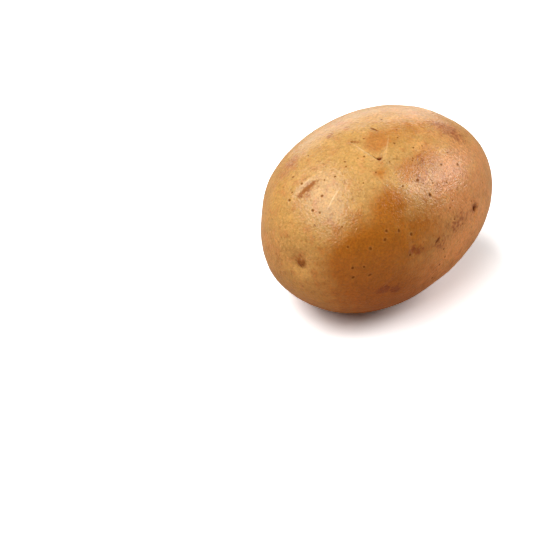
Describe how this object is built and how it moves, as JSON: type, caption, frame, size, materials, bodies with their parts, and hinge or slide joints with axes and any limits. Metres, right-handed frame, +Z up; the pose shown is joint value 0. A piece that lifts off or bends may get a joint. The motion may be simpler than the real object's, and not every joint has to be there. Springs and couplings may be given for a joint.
{
  "type": "potato",
  "caption": "Whole washed table potato, an oval tuber lying on its side, with shallow browed eyes, broad swells and a heel scar.",
  "frame": {"origin": "under the middle of the potato's box, on the surface that it rests on", "axes": "+X along the potato's length, from its heel to its rose end; +Z up as it lies; +Y across it, away from the side that the picture shows"},
  "size_m": [0.087, 0.0618, 0.0573],
  "materials": {
    "skin": "thin washed periderm, golden tan with russet freckles and a waxy sheen"
  },
  "bodies": {
    "root": {"potato": "skin"}
  },
  "joints": []
}
